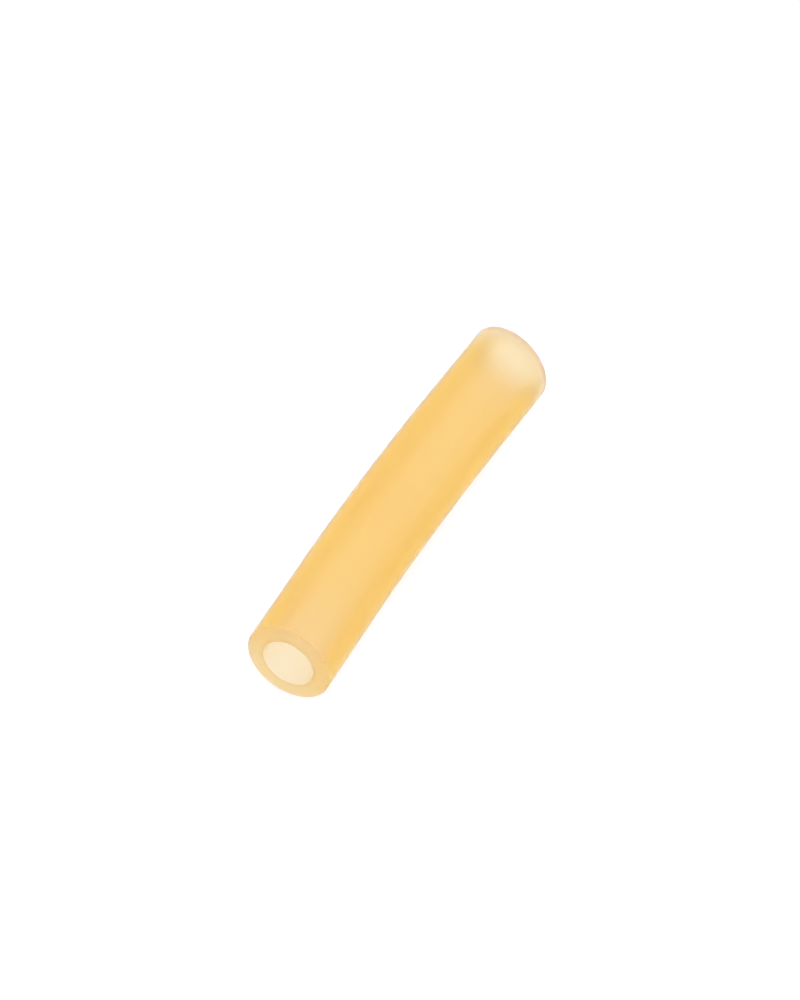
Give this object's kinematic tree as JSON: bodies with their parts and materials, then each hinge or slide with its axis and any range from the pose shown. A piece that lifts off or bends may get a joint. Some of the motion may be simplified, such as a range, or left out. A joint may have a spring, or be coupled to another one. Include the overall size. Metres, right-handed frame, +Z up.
{
  "type": "rubber tubing length",
  "caption": "Short, slightly bent length of amber natural rubber tubing with an open bore, one end cut square and the other at a slant.",
  "frame": {"origin": "on the surface that the tube lies on, under the middle of its bounding box", "axes": "+X along the tube from the square end to the slanted end, +Y to the outside of the bend, +Z up"},
  "size_m": [0.0524, 0.0106, 0.01],
  "materials": {
    "amber_gum_rubber": "satin, translucent amber latex rubber"
  },
  "bodies": {
    "root": {"tubing": "amber_gum_rubber"}
  },
  "joints": []
}
